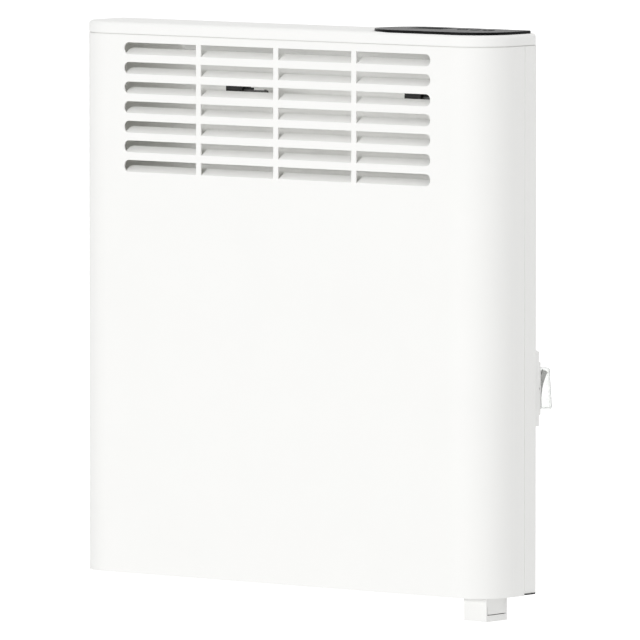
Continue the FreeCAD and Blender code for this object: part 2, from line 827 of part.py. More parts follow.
def make_switch_plate():
    """Moulded box on the back of the rear panel, open towards it, with the switch in its sloping side."""
    body = new_body("switch_plate")
    tail = "(%s - box_length)" % BOX_SIDE
    back = "(%s + box_slope * cos(switch_turn))" % BOX_KNEE
    plan = new_sketch(body, "box_plan", "XY", "switch_height - box_height / 2")
    add_loop(plan, [
        (tail, REAR),
        (BOX_SIDE, REAR),
        (BOX_SIDE, BOX_KNEE),
        ("%s - box_slope * sin(switch_turn)" % BOX_SIDE, back),
        (tail, back),
    ])
    pad(body, "box_block", plan, "box_height")
    hollow(body, "box_shell", "box_wall", facing_at(REAR))
    opening = new_sketch(body, "box_opening", "YZ", SWITCH_X)
    turn = FreeCAD.Rotation(FreeCAD.Vector(0, 1, 0), value("switch_turn"))
    opening.AttachmentOffset = FreeCAD.Placement(opening.AttachmentOffset.Base, turn)
    bind(opening, "AttachmentOffset.Rotation.Angle", "switch_turn")
    bind(opening, "AttachmentOffset.Base.x", SWITCH_Y)
    bind(opening, "AttachmentOffset.Base.y", "switch_height")
    add_loop(opening, centred("neck_length + 2 * fit_gap", "neck_width + 2 * fit_gap"))
    pocket(body, "box_cut", opening, "2 * box_wall")
    settle(body, "switch_plate")


def centred(length, width):
    """An upright rectangle round the middle of the switch."""
    return rectangle("-(%s) / 2" % width, "(%s) / 2" % width, "-(%s) / 2" % length, "(%s) / 2" % length)


def mount_switch(item, label):
    """Turn a part that is drawn at the origin, facing +x, onto the slope of the switch box."""
    item.Placement = FreeCAD.Placement(FreeCAD.Vector(),
                                       FreeCAD.Rotation(FreeCAD.Vector(0, 0, 1), value("switch_turn")))
    bind(item, "Placement.Rotation.Angle", "switch_turn")
    place(item, SWITCH_X, SWITCH_Y, "switch_height")
    settle(item, label)


def make_switch():
    """Snap-in housing and blades of the mains switch."""
    housing = new_body("switch_housing")
    barrel = new_sketch(housing, "barrel_outline", "YZ", "-barrel_depth")
    add_loop(barrel, centred("barrel_length", "barrel_width"))
    pad(housing, "barrel", barrel, "barrel_depth")
    neck = new_sketch(housing, "neck_outline", "YZ", "-neck_depth")
    add_loop(neck, centred("neck_length", "neck_width"))
    pad(housing, "neck", neck, "neck_depth")
    frame = new_sketch(housing, "frame_outline", "YZ")
    add_loop(frame, centred("frame_length", "frame_width"))
    pad(housing, "frame", frame, "frame_thickness")
    face = value("frame_thickness")
    round_edges(housing, "frame_soft_edge", "frame_edge",
                lambda edge: near(edge.BoundBox.XMin, face) and near(edge.BoundBox.XMax, face))
    swing = "(sqrt(rocker_half ^ 2 + rocker_tip ^ 2) + fit_gap)"
    well = new_sketch(housing, "well_outline", "YZ", "frame_thickness")
    add_loop(well, centred("2 * " + swing, "rocker_width + 2 * fit_gap"))
    pocket(housing, "well", well, "well_depth")
    bearing = new_sketch(housing, "bearing_circle", "XZ", "frame_width")
    add_circle(bearing, "-pivot_depth", "0", "pivot_pin / 2 + pin_clearance")
    pocket(housing, "bearing", bearing, "2 * frame_width")
    mount_switch(housing, "switch_housing")

    blades = []
    for step in (-1, 0, 1):
        blades.append(block("blade_%d" % (step + 2), "-barrel_depth - blade_length", "-blade_width / 2",
                            "%d * blade_pitch - blade_thickness / 2" % step,
                            "blade_length", "blade_width", "blade_thickness"))
    mount_switch(group("switch_blades", blades), "switch_terminals")


def make_rocker():
    """Dished rocker on two pins, tipped about its pivot with the top out."""
    body = new_body("rocker")
    side = new_sketch(body, "rocker_side", "XZ", "-rocker_width / 2")
    turn = FreeCAD.Rotation(FreeCAD.Vector(0, 0, -1), value("rocker_tilt"))
    side.AttachmentOffset = FreeCAD.Placement(side.AttachmentOffset.Base, turn)
    bind(side, "AttachmentOffset.Rotation.Angle", "rocker_tilt")
    bind(side, "AttachmentOffset.Base.x", "-pivot_depth")
    radius = "((rocker_half ^ 2 + rocker_hollow ^ 2) / (2 * rocker_hollow))"
    swing = "sqrt(rocker_half ^ 2 + rocker_tip ^ 2)"
    heel = "(rocker_tip / 3)"
    heel_half = "sqrt(rocker_half ^ 2 + rocker_tip ^ 2 - %s ^ 2)" % heel
    add_loop(side, [
        ("rocker_tip", "-rocker_half", radius, -1),
        ("rocker_tip", "rocker_half", swing, 1),
        (heel, heel_half),
        ("-rocker_root", "rocker_root_half"),
        ("-rocker_root", "-rocker_root_half"),
        (heel, "-" + heel_half, swing, 1),
    ])
    pad(body, "rocker_block", side, "rocker_width")
    pins = new_sketch(body, "pin_circle", "XZ", "-(neck_width / 2 - fit_gap)")
    add_circle(pins, "-pivot_depth", "0", "pivot_pin / 2")
    pad(body, "pins", pins, "neck_width - 2 * fit_gap")
    mount_switch(body, "rocker")


def make_switch_boot():
    """Clear splash boot over the rocker, its outer wall leaning out towards the bottom."""
    body = new_body("switch_boot")
    half = "(sqrt(rocker_half ^ 2 + rocker_tip ^ 2) + fit_gap + boot_wall)"
    profile = new_sketch(body, "boot_profile", "XZ", "-boot_width / 2")
    add_loop(profile, [
        ("frame_thickness", "-" + half),
        ("boot_reach_bottom", "-" + half),
        ("boot_reach_top", half),
        ("frame_thickness", half),
    ])
    pad(body, "boot_block", profile, "boot_width")
    plane = value("frame_thickness")
    round_edges(body, "boot_soft_edge", "1.5 * boot_wall",
                lambda edge: edge.BoundBox.XMin > plane + value("boot_wall"))
    hollow(body, "boot_shell", "boot_wall",
           lambda item: near(item.BoundBox.XMin, plane) and near(item.BoundBox.XMax, plane))
    mount_switch(body, "switch_boot")


def make_sensor():
    """Room sensor under the electrics bay: a base with a snap tongue, a hood and the bead."""
    left = "(%s - sensor_width / 2)" % SENSOR_PLACE
    right = "(%s + sensor_width / 2)" % SENSOR_PLACE
    front = "(%s + sensor_front)" % FRONT
    back = "(%s + sensor_front + sensor_depth)" % FRONT
    base = new_body("sensor_base")
    plan = new_sketch(base, "sensor_plan", "XY", "-sensor_collar")
    add_loop(plan, rectangle(left, right, front + " + sensor_wall", back))
    pad(base, "collar", plan, "sensor_collar")
    tongue = new_sketch(base, "tongue_plan", "XY", "-sensor_collar")
    add_loop(tongue, rectangle(right + " - sensor_wall", right, front + " + sensor_wall + sensor_slit",
                               back + " - sensor_wall"))
    pad(base, "tongue", tongue, "sensor_tongue", backwards=True)
    neck = new_sketch(base, "neck_plan", "XY")
    middle = "((%s + %s) / 2)" % (front, back)
    inset = "(sensor_neck / 2 - fit_gap)"
    add_loop(neck, rectangle(SENSOR_PLACE + " - " + inset, SENSOR_PLACE + " + " + inset,
                             middle + " - " + inset, middle + " + " + inset))
    pad(base, "neck", neck, "2 * sheet_thickness")
    settle(base, "sensor_base")

    hood = new_body("sensor_cover")
    outline = new_sketch(hood, "hood_plan", "XY", "-sensor_drop")
    add_loop(outline, rectangle(left, right, front, back))
    pad(hood, "hood_block", outline, "sensor_drop - sensor_collar")
    hollow(hood, "hood_shell", "sensor_wall", level_at("-sensor_collar"))
    face = new_sketch(hood, "face_plan", "XY", "-sensor_drop")
    add_loop(face, rectangle(left, right, front, front + " + sensor_wall"))
    pad(hood, "hood_face", face, "sensor_drop")
    window = new_sketch(hood, "tongue_window", "XY", "-sensor_collar")
    add_loop(window, rectangle(right + " - 2 * sensor_wall", right + " + sensor_wall",
                               front + " + sensor_wall", back + " - sensor_wall"))
    pocket(hood, "tongue_cut", window, "sensor_tongue + sensor_slit")
    settle(hood, "sensor_cover")

    bead = rod("room_sensor", "z", SENSOR_PLACE, middle, "-sensor_collar - probe_length",
               "probe_diameter", "probe_length")
    settle(bead, "room_sensor")


def make_intake_grille():
    """Slotted plate that lies on the casing's lower rim."""
    body = new_body("intake_grille")
    left = "(intake_inset - %s)" % INNER_HALF
    right = PARTITION + " - fit_gap"
    front = "(%s + intake_inset)" % INNER_FRONT
    back = SEAM + " - side_seam"
    radius = casing_corner("sheet_thickness - intake_inset")
    plan = new_sketch(body, "grille_plan", "XY", "sheet_thickness")
    add_loop(plan, [
        (left, front + " + " + radius, radius, 1),
        (left + " + " + radius, front),
        (right, front),
        (right, back),
        (left, back),
    ])
    pad(body, "grille_sheet", plan, "intake_sheet")
    slot = new_sketch(body, "slot_plan", "XY", "sheet_thickness + intake_sheet")
    start = "(corner_radius - %s)" % HALF
    middle = "((%s + rim_width + %s) / 2)" % (FRONT, back)
    add_loop(slot, rectangle(start, start + " + intake_slot",
                             middle + " - intake_slot_length / 2", middle + " + intake_slot_length / 2"))
    first = pocket(body, "first_slot", slot, "2 * intake_sheet")
    run = "(%s - intake_margin - intake_pitch - %s)" % (PARTITION, start)
    repeat(body, "slots", [first], "X", "intake_pitch", "floor(%s / intake_pitch)" % run)
    settle(body, "intake_grille")


ELEMENT_LEFT = "(element_inset - %s)" % INNER_HALF
ELEMENT_RIGHT = "(%s - element_inset)" % PARTITION
ELEMENT_DEPTH = "((%s + shield_thickness + %s) / 2)" % (FRONT_SHIELD, SHIELD_FACE)


def make_heating_element():
    """Cast element of X section with a journal at each end, and its terminal pins."""
    length = "(%s - %s)" % (ELEMENT_RIGHT, ELEMENT_LEFT)
    body = new_body("heating_element")
    hub = new_sketch(body, "hub_section", "YZ")
    add_circle(hub, "0", "0", "hub_diameter / 2")
    pad(body, "hub", hub, length)
    arm = new_sketch(body, "arm_section", "YZ")
    half = "(arm_thickness / 2)"
    add_loop(arm, [
        ("-" + half, "hub_diameter / 4"),
        (half, "hub_diameter / 4"),
        (half, "arm_reach", half, 1),
        ("0", "arm_reach + " + half, half, 1),
        ("-" + half, "arm_reach"),
    ])
    first = pad(body, "arm", arm, length)
    arms = body.newObject("PartDesign::PolarPattern", "arms")
    arms.Originals = [first]
    arms.Axis = (origin_feature(body, "X_Axis"), [""])
    arms.Angle = 360
    arms.Occurrences = 4
    body.Tip = arms
    doc.recompute()
    journal = new_sketch(body, "journal_section", "YZ", "-journal_length")
    add_circle(journal, "0", "0", "journal_diameter / 2")
    pad(body, "journals", journal, length + " + 2 * journal_length")
    body.Placement = FreeCAD.Placement(FreeCAD.Vector(), FreeCAD.Rotation(FreeCAD.Vector(1, 0, 0), 45))
    place(body, ELEMENT_LEFT, ELEMENT_DEPTH, "element_height")
    settle(body, "heating_element")

    pins = []
    for name, x in (("left", ELEMENT_LEFT + " - journal_length - terminal_length"),
                    ("right", ELEMENT_RIGHT + " + journal_length")):
        pins.append(rod("pin_" + name, "x", x, ELEMENT_DEPTH, "element_height",
                        "terminal_diameter", "terminal_length"))
    settle(group("element_pins", pins), "element_terminals")


def make_element_brackets():
    """Sheet brackets that carry the element's journals and the front shield, on the heat shield."""
    for name, x, foot in (("left", ELEMENT_LEFT + " - journal_length / 2 - sheet_thickness / 2", 0),
                          ("right", ELEMENT_RIGHT + " + journal_length / 2 - sheet_thickness / 2", 1)):
        body = new_body("element_bracket_" + name)
        plan = new_sketch(body, "bracket_plan_" + name, "XY", "element_height - bracket_half")
        x_end = "%s + sheet_thickness" % x
        front = FRONT_SHIELD + " + shield_thickness"
        inward = x + " + bracket_foot" if foot == 0 else x_end + " - bracket_foot"
        heel = SHIELD_FACE + " - sheet_thickness"
        if foot == 0:
            outline = [(x, front), (x_end, front), (x_end, heel), (inward, heel), (inward, SHIELD_FACE),
                       (x, SHIELD_FACE)]
        else:
            outline = [(x, front), (x_end, front), (x_end, SHIELD_FACE), (inward, SHIELD_FACE),
                       (inward, heel), (x, heel)]
        add_loop(plan, outline)
        pad(body, "bracket_form_" + name, plan, "2 * bracket_half")
        hole = new_sketch(body, "journal_hole_" + name, "YZ", x)
        add_circle(hole, ELEMENT_DEPTH, "element_height", "journal_diameter / 2 + fit_gap / 2")
        pocket(body, "journal_cut_" + name, hole, "2 * sheet_thickness", backwards=True)
        settle(body, "element_bracket_" + name)


def make_heat_shield():
    """Reflector in front of the rear panel, its top rolled forward to turn the air out of the louvres."""
    body = new_body("heat_shield")
    side = new_sketch(body, "shield_profile", "YZ", "shield_inset - " + INNER_HALF)
    bend = "(%s - shield_curve)" % SHIELD_TOP
    inner = "(shield_curve - shield_thickness)"
    tip = "(%s - shield_curve)" % SHIELD_BACK
    add_loop(side, [
        (SHIELD_BACK, "shield_bottom"),
        (SHIELD_BACK, bend, "shield_curve", 1),
        (tip, SHIELD_TOP),
        (tip, SHIELD_TOP + " - shield_thickness", inner, -1),
        (SHIELD_FACE, bend),
        (SHIELD_FACE, "shield_bottom"),
    ])
    pad(body, "shield_sheet", side, "%s - intake_margin + %s - shield_inset" % (PARTITION, INNER_HALF))
    notch = new_sketch(body, "shield_notch", "XZ", "wall_gap + body_depth")
    edge = "(shield_inset - %s)" % INNER_HALF
    add_loop(notch, rectangle(edge + " - shield_inset", edge + " + notch_reach", "notch_bottom",
                              SHIELD_TOP + " + shield_curve"))
    pocket(body, "notch", notch, "body_depth")
    settle(body, "heat_shield")

    spacers = []
    left = "(2 * shield_inset - %s)" % INNER_HALF
    right = "(%s - shield_inset)" % PARTITION
    for x_name, x in (("left", left), ("right", right)):
        for z_name, z in (("low", "2 * shield_bottom"), ("high", "notch_bottom - 2 * spacer_diameter")):
            spacers.append(rod("spacer_%s_%s" % (x_name, z_name), "-y", x, INNER_REAR, z,
                               "spacer_diameter", "shield_gap"))
    settle(group("shield_bushes", spacers), "shield_spacers")


def make_front_shield():
    """Inner plate behind the plain front, with its upper and lower edges turned back."""
    body = new_body("front_shield")
    side = new_sketch(body, "front_shield_profile", "YZ",
                      ELEMENT_LEFT + " - journal_length / 2 - sheet_thickness / 2")
    face = FRONT_SHIELD
    back = FRONT_SHIELD + " + shield_thickness"
    lip = FRONT_SHIELD + " + front_shield_lip"
    add_loop(side, [
        (face, "front_shield_bottom"),
        (lip, "front_shield_bottom"),
        (lip, "front_shield_bottom + shield_thickness"),
        (back, "front_shield_bottom + shield_thickness"),
        (back, FRONT_SHIELD_TOP + " - shield_thickness"),
        (lip, FRONT_SHIELD_TOP + " - shield_thickness"),
        (lip, FRONT_SHIELD_TOP),
        (face, FRONT_SHIELD_TOP),
    ])
    pad(body, "front_shield_sheet", side,
        "%s - %s + journal_length + sheet_thickness" % (ELEMENT_RIGHT, ELEMENT_LEFT))
    settle(body, "front_shield")


def make_partition():
    """Bulkhead between the hot bay and the electrics bay, with a foot on the rear panel."""
    body = new_body("partition")
    plan = new_sketch(body, "partition_plan", "XY", "sheet_thickness")
    end = PARTITION + " + sheet_thickness"
    add_loop(plan, [
        (PARTITION, FRONT_SHIELD),
        (end, FRONT_SHIELD),
        (end, INNER_REAR + " - sheet_thickness"),
        (end + " + bracket_foot", INNER_REAR + " - sheet_thickness"),
        (end + " + bracket_foot", INNER_REAR),
        (PARTITION, INNER_REAR),
    ])
    pad(body, "partition_sheet", plan, CASING_TOP + " - rim_width - sheet_thickness")
    settle(body, "partition")


def make_cutouts():
    """Two overheat cut-outs behind the third row: body, bimetal arm and the stay that carries each."""
    front = "(%s + cutout_front)" % FRONT
    last = "(%s - cutout_margin)" % PARTITION
    for name, x in (("left", "(%s - cutout_spacing)" % last), ("right", last)):
        case = block("cutout_case_" + name, x, front, CUTOUT_BASE,
                     "cutout_length", "cutout_depth", "cutout_height")
        nub = block("cutout_nub_" + name, x + " + cutout_length", front + " + cutout_depth / 4",
                    CUTOUT_BASE + " + arm_rise", "cutout_length / 3", "cutout_depth / 2",
                    "cutout_height - arm_rise - rivet_diameter")
        settle(fuse("cutout_form_" + name, [case, nub]), "cutout_" + name)
        strip = block("arm_strip_" + name, x + " + cutout_length", front + " + cutout_depth / 4 - arm_sheet",
                      CUTOUT_BASE + " + arm_rise",
                      "cutout_length / 3 + arm_length", "arm_sheet", "arm_height")
        rivet = rod("arm_rivet_" + name, "-y", x + " + cutout_length * 4 / 3 + arm_length - rivet_diameter",
                    front + " + cutout_depth / 4", CUTOUT_BASE + " + arm_rise + arm_height / 2",
                    "rivet_diameter", "2 * arm_sheet")
        settle(fuse("arm_form_" + name, [strip, rivet]), "cutout_arm_" + name)

        stay = new_body("cutout_stay_" + name)
        side = new_sketch(stay, "stay_profile_" + name, "YZ", x + " + cutout_length / 2 - stay_width / 2")
        add_loop(side, [
            (front, CUTOUT_BASE + " - sheet_thickness"),
            (SHIELD_FACE + " - sheet_thickness", CUTOUT_BASE + " - sheet_thickness"),
            (SHIELD_FACE + " - sheet_thickness", CUTOUT_BASE + " - stay_width"),
            (SHIELD_FACE, CUTOUT_BASE + " - stay_width"),
            (SHIELD_FACE, CUTOUT_BASE),
            (front, CUTOUT_BASE),
        ])
        pad(stay, "stay_sheet_" + name, side, "stay_width")
        settle(stay, "cutout_stay_" + name)


def make_terminal_block(left, front):
    """Three-way mains block: a wire hole through each way and a screw well over it."""
    body = new_body("terminal_block")
    plan = new_sketch(body, "terminal_plan", "XY", "terminal_block_place")
    add_loop(plan, rectangle(left, left + " + terminal_block_length",
                             front, front + " + terminal_block_width"))
    pad(body, "terminal_form", plan, "terminal_block_height")
    first_way = left + " + terminal_block_length / 2 - terminal_pitch"
    wire = new_sketch(body, "wire_plan", "XY", "terminal_block_place + terminal_block_height")
    add_circle(wire, first_way, front + " + terminal_block_width / 2", "terminal_bore / 2")
    hole = pocket(body, "wire_hole", wire, "2 * terminal_block_height")
    screw = new_sketch(body, "screw_plan", "XZ", "-(%s)" % front)
    add_circle(screw, first_way, "terminal_block_place + terminal_block_height / 2", "terminal_bore / 2")
    well = pocket(body, "screw_well", screw, "terminal_well")
    repeat(body, "ways", [hole, well], "X", "terminal_pitch", "3")
    settle(body, "terminal_block")


def make_electrics():
    """Power board with its relay and transformer, the mains terminals and the cord's gland."""
    wall = "(%s + sheet_thickness)" % PARTITION
    inner = "(%s + stand_off)" % wall
    outer = "(%s + board_thickness)" % inner
    back = "(%s - stand_off)" % INNER_REAR
    near_edge = "(%s - power_board_width)" % back
    settle(block("power_board", inner, near_edge, "power_board_bottom",
                 "board_thickness", "power_board_width", "power_board_length"), "power_board")
    pillars = []
    for y_name, y in (("near", near_edge + " + stand_off"), ("far", back + " - stand_off")):
        for z_name, z in (("low", "power_board_bottom + stand_off"),
                          ("high", "power_board_bottom + power_board_length - stand_off")):
            pillars.append(rod("pillar_%s_%s" % (y_name, z_name), "x", wall, y, z, "stand_off", "stand_off"))
    settle(group("pillars", pillars), "board_spacers")
    settle(block("power_relay", outer, near_edge + " + stand_off",
                 "power_board_bottom + power_board_length - relay_length - 2 * stand_off",
                 "relay_height", "relay_width", "relay_length"), "power_relay")
    coil_back = "(%s - transformer_width - stand_off)" % back
    coil_base = "(power_board_bottom + 2 * stand_off)"
    core = block("transformer_core", outer, coil_back + " + (transformer_width - core_stack) / 2", coil_base,
                 "transformer_height", "core_stack", "transformer_length")
    coil = block("transformer_coil", outer + " + core_leg / 2", coil_back, coil_base + " + core_leg",
                 "transformer_height - core_leg", "transformer_width", "transformer_length - 2 * core_leg")
    settle(fuse("transformer_form", [core, coil]), "transformer")
    make_terminal_block(wall + " + bracket_foot + fit_gap", INNER_REAR + " - terminal_block_width")

    gland = new_body("cord_gland")
    section = new_sketch(gland, "gland_section", "XY")
    bore = "gland_bore / 2"
    barrel = "gland_hole / 2 - fit_gap"
    flange = "gland_hole / 2 + gland_flange"
    add_loop(section, [
        (bore, "-sheet_thickness - gland_flange"),
        (flange, "-sheet_thickness - gland_flange"),
        (flange, "-sheet_thickness"),
        (barrel, "-sheet_thickness"),
        (barrel, "0"),
        (flange, "0"),
        (flange, "gland_flange / 2"),
        (barrel, "gland_flange"),
        (bore, "gland_flange"),
    ])
    revolve(gland, "gland_form", section)
    place(gland, HALF + " - gland_inset", REAR, "gland_height")
    settle(gland, "cord_gland")


def make_wall_bracket():
    """Folded plate on the wall: a bordered window, four holes and four upright hooks."""
    body = new_body("wall_bracket")
    half = "(bracket_width / 2)"
    low = "(hang_height - bracket_height / 2)"
    high = "(hang_height + bracket_height / 2)"
    plate = new_sketch(body, "bracket_plate", "XZ")
    add_loop(plate, rectangle("-" + half, half, low, high))
    add_loop(plate, rectangle("bracket_border - " + half, half + " - bracket_border",
                              low + " + bracket_border", high + " - bracket_border"))
    for x_side in (-1, 1):
        for z_side in (-1, 1):
            add_circle(plate, "%d * hole_spread_x / 2" % x_side,
                       "hang_height + %d * hole_spread_z / 2" % z_side, "hole_diameter / 2")
    pad(body, "plate", plate, "bracket_sheet")

    edge = "(hook_play - wall_gap)"
    notch = "(%s - hook_notch)" % edge
    tip = "(%s - hook_lip)" % notch
    outline = [("0", low), ("0", high), (edge, high)]
    for level in (1, -1):
        seat = "(hang_height + %d * hook_spread / 2)" % level
        outline += [
            (edge, seat),
            (notch, seat),
            (notch, seat + " + hook_rise"),
            ("%s - hook_lip / 2" % notch, seat + " + hook_rise"),
            (tip, seat + " + hook_rise / 2"),
            (tip, seat + " - hook_root"),
            (edge, seat + " - hook_root"),
        ]
    outline += [(edge, low)]
    flange = new_sketch(body, "flange_profile", "YZ", half + " - bracket_sheet")
    add_loop(flange, outline)
    right = pad(body, "right_flange", flange, "bracket_sheet")
    mirror(body, "left_flange", [right])
    fold = value(half)
    upright = vertical_at("0")
    round_edges(body, "flange_bends", "bracket_bend",
                lambda edge: upright(edge) and near(abs(edge.BoundBox.XMin), fold))
    settle(body, "wall_bracket")


def make_wall_spacers():
    """Pegs that keep the lower end of the heater off the wall."""
    for name, side in (("left", -1), ("right", 1)):
        body = new_body("wall_spacer_" + name)
        section = new_sketch(body, "peg_section_" + name, "XY")
        add_loop(section, [
            ("0", "0"),
            ("wall_spacer_diameter / 2", "0"),
            ("wall_spacer_diameter / 2", "sheet_thickness * 2"),
            ("wall_spacer_diameter / 3", "sheet_thickness * 4"),
            ("wall_spacer_diameter / 3", "wall_gap"),
            ("0", "wall_gap"),
        ])
        revolve(body, "peg_form_" + name, section)
        place(body, "%d * (%s - wall_spacer_inset)" % (side, HALF), REAR, "wall_spacer_height")
        settle(body, "wall_spacer_" + name)


make_wall_bracket()
make_rear_panel()
make_front_casing()
make_top_cover()
make_control_bezel()
make_display_window()
make_control_board()
make_keys()
make_switch_plate()
make_switch()
make_rocker()
make_switch_boot()
make_sensor()
make_intake_grille()
make_heating_element()
make_element_brackets()
make_heat_shield()
make_front_shield()
make_partition()
make_cutouts()
make_electrics()
make_wall_spacers()
doc.recompute()

for item in doc.Objects:
    if "Invalid" in item.State or "Error" in item.State:
        raise RuntimeError("%s failed: %s" % (item.Name, item.State))
for item in nodes:
    if item.Shape.isNull() or not item.Shape.isValid():
        raise RuntimeError(item.Label + " has no valid shape")

os.makedirs("parts", exist_ok=True)
for item in nodes:
    item.Shape.exportStep("parts/%s.step" % item.Label)
print("%d sub-parts" % len(nodes))
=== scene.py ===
import json
import math

import bmesh
import bpy
from mathutils import Matrix, Vector


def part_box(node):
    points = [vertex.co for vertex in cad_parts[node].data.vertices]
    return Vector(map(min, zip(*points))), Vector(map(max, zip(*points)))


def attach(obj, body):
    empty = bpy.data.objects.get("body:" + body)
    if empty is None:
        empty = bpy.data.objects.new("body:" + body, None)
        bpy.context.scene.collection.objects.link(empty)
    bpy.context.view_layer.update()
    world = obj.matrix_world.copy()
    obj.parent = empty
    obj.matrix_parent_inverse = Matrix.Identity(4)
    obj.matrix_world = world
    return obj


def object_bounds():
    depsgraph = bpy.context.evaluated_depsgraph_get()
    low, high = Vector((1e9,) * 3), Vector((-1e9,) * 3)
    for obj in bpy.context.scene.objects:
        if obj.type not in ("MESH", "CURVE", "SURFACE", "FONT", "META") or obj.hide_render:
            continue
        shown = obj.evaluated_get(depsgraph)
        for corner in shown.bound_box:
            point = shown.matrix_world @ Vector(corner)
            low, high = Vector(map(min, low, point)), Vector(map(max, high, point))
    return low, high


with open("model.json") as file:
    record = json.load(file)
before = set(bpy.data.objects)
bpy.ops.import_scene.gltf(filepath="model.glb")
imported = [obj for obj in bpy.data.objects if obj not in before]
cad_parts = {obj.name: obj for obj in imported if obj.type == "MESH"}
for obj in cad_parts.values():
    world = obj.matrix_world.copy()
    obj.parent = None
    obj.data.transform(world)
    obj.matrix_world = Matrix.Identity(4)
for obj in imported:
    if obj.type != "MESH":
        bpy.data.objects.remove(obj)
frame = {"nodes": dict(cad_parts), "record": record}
cad_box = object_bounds()
nodes = frame["nodes"]
joints = {joint["name"]: joint for joint in frame["record"]["behaviour"]["joints"]}

MM = 0.001
MICRON = 0.000001

# Camera: a long lens in front of the right end, a little above the heater
CAMERA_AZIMUTH = 38.65
CAMERA_ELEVATION = 4.213
CAMERA_DISTANCE = 9.42
CAMERA_LENS = 654.6
CAMERA_SENSOR = 36.0
CAMERA_TARGET = Vector((0.01872, -0.063, -0.05631))
CAMERA_NEAR = 0.1

# Stage and light: a sky that is stronger above and weaker at the sides, and two wide lamps in front
FLOOR_DROP = 1.6
FLOOR_SIZE = 400.0
FLOOR_PAINT = 0.86
FLOOR_GLOW = 0.60
AMBIENT = 0.72
AMBIENT_RISE = 0.41
AMBIENT_LEFT = 0.62
AMBIENT_RIGHT = 0.14
LAMP_HEIGHT = 0.2
KEY_POWER = 31.0
KEY_PLACE = Vector((-0.7, -3.9, 0.38))
KEY_WIDTH = 2.6
FILL_POWER = 12.0
FILL_PLACE = Vector((1.67, -3.77, 0.38))
FILL_WIDTH = 2.0
DIFFUSE_BOUNCES = 12

# Finishes: noise stays mostly between its low and high level, and a swing is how far roughness follows it
PURE_WHITE = (1.0, 1.0, 1.0, 1.0)
WHITE_PAINT = (0.95, 0.95, 0.933)
WHITE_PLASTIC = (0.95, 0.95, 0.935)
WHITE_SHEET = (0.96, 0.96, 0.945)
CLEAR_DULL = (0.86, 0.87, 0.86)
CLEAR_BRIGHT = (0.90, 0.91, 0.90)
CLEAR_ROUGHNESS = 0.10
CLEAR_INDEX = 1.42
# Painted shadow in the seam's recess under the top cover; the seam's height, the blend at its top and the
# ramp stop where the painted shadow ends
PAINTED_SEAM_SHADOW = (0.76, 0.76, 0.745)
SEAM_HEIGHT = 0.7 * MM
SEAM_BLEND = 0.1 * MM
SEAM_END = 0.02
NOISE_LOW = 0.3
NOISE_HIGH = 0.7
DRIFT_SIZE = 90 * MM
HAZE_SIZE = 4 * MM
COAT_SWING = 0.04
METAL_SWING = 0.08
METAL_RELIEF = 20 * MICRON

# Marks on the keys and on the rocker, whose dished face has a distance from its axis, a radius and a tilt
MARK_RISE = 0.02 * MM
MARK_ROOT = 0.04 * MM
MARK_LINE = 0.7 * MM
MARK_LENGTH = 4.2 * MM
MARK_PITCH = 1.5 * MM
ROCKER_MARK_ROOT = 0.08 * MM
ROCKER_MARK_PLACE = 8.0 * MM
ROCKER_REST_TILT = math.radians(9.5)
ROCKER_FACE = 3.4 * MM
ROCKER_DISH_RADIUS = 53.6 * MM

# Screws: the profile and the cross recess are shares of the head's radius and height
SCREW_RADIUS = 2.9 * MM
SCREW_HEIGHT = 1.8 * MM
SCREW_PROFILE = ((1.0, 0.0), (1.0, 0.35), (0.93, 0.7), (0.76, 1.0))
SCREW_CROSS_LENGTH = 1.16
SCREW_CROSS_WIDTH = 0.28
SCREW_CROSS_FLOOR = 0.3
SCREW_INSET = 10.0 * MM
SCREW_MARGIN = 14.0 * MM
BOX_SCREW_MARGIN = 8.0 * MM

# Rivets: domes, with rings at these shares of their height
RIVET_RADIUS = 2.4 * MM
RIVET_HEIGHT = 1.1 * MM
RIVET_RINGS = (0.0, 0.35, 0.7)
RIVET_INSET = 4.5 * MM

# Sheet edges: a dark strip that paints the shadow under the rear panel's lower edge, and the slots as the
# front casing has them
SHEET = 1.0 * MM
SHADOW_STRIP_RISE = 0.8 * MM
SHADOW_STRIP_WALL = 0.5 * MM
SHADOW_STRIP_LENGTH = 13.3 * MM
SLOT_FIELD = 317.0 * MM
SLOT_HEIGHT = 9.7 * MM
SLOT_DROP = 6.3 * MM
SLOT_PITCH = 16.0 * MM
SLOT_ROWS = 7
SLOT_CORNER = 4.5 * MM
SLOT_SINK = 0.01 * MM

# Points along an arc and round a ring
ARC_STEPS = 6
MARK_STEPS = 24
RIVET_STEPS = 16


def add_span(tree, source, start, end, low, high):
    """A number mapped from one range to another, and kept inside the second."""
    node = tree.nodes.new("ShaderNodeMapRange")
    node.inputs["From Min"].default_value = start
    node.inputs["From Max"].default_value = end
    node.inputs["To Min"].default_value = low
    node.inputs["To Max"].default_value = high
    tree.links.new(source, node.inputs["Value"])
    return node.outputs[0]


def add_math(tree, operation, first, second):
    """Two numbers joined by an operation."""
    node = tree.nodes.new("ShaderNodeMath")
    node.operation = operation
    tree.links.new(first, node.inputs[0])
    tree.links.new(second, node.inputs[1])
    return node.outputs[0]


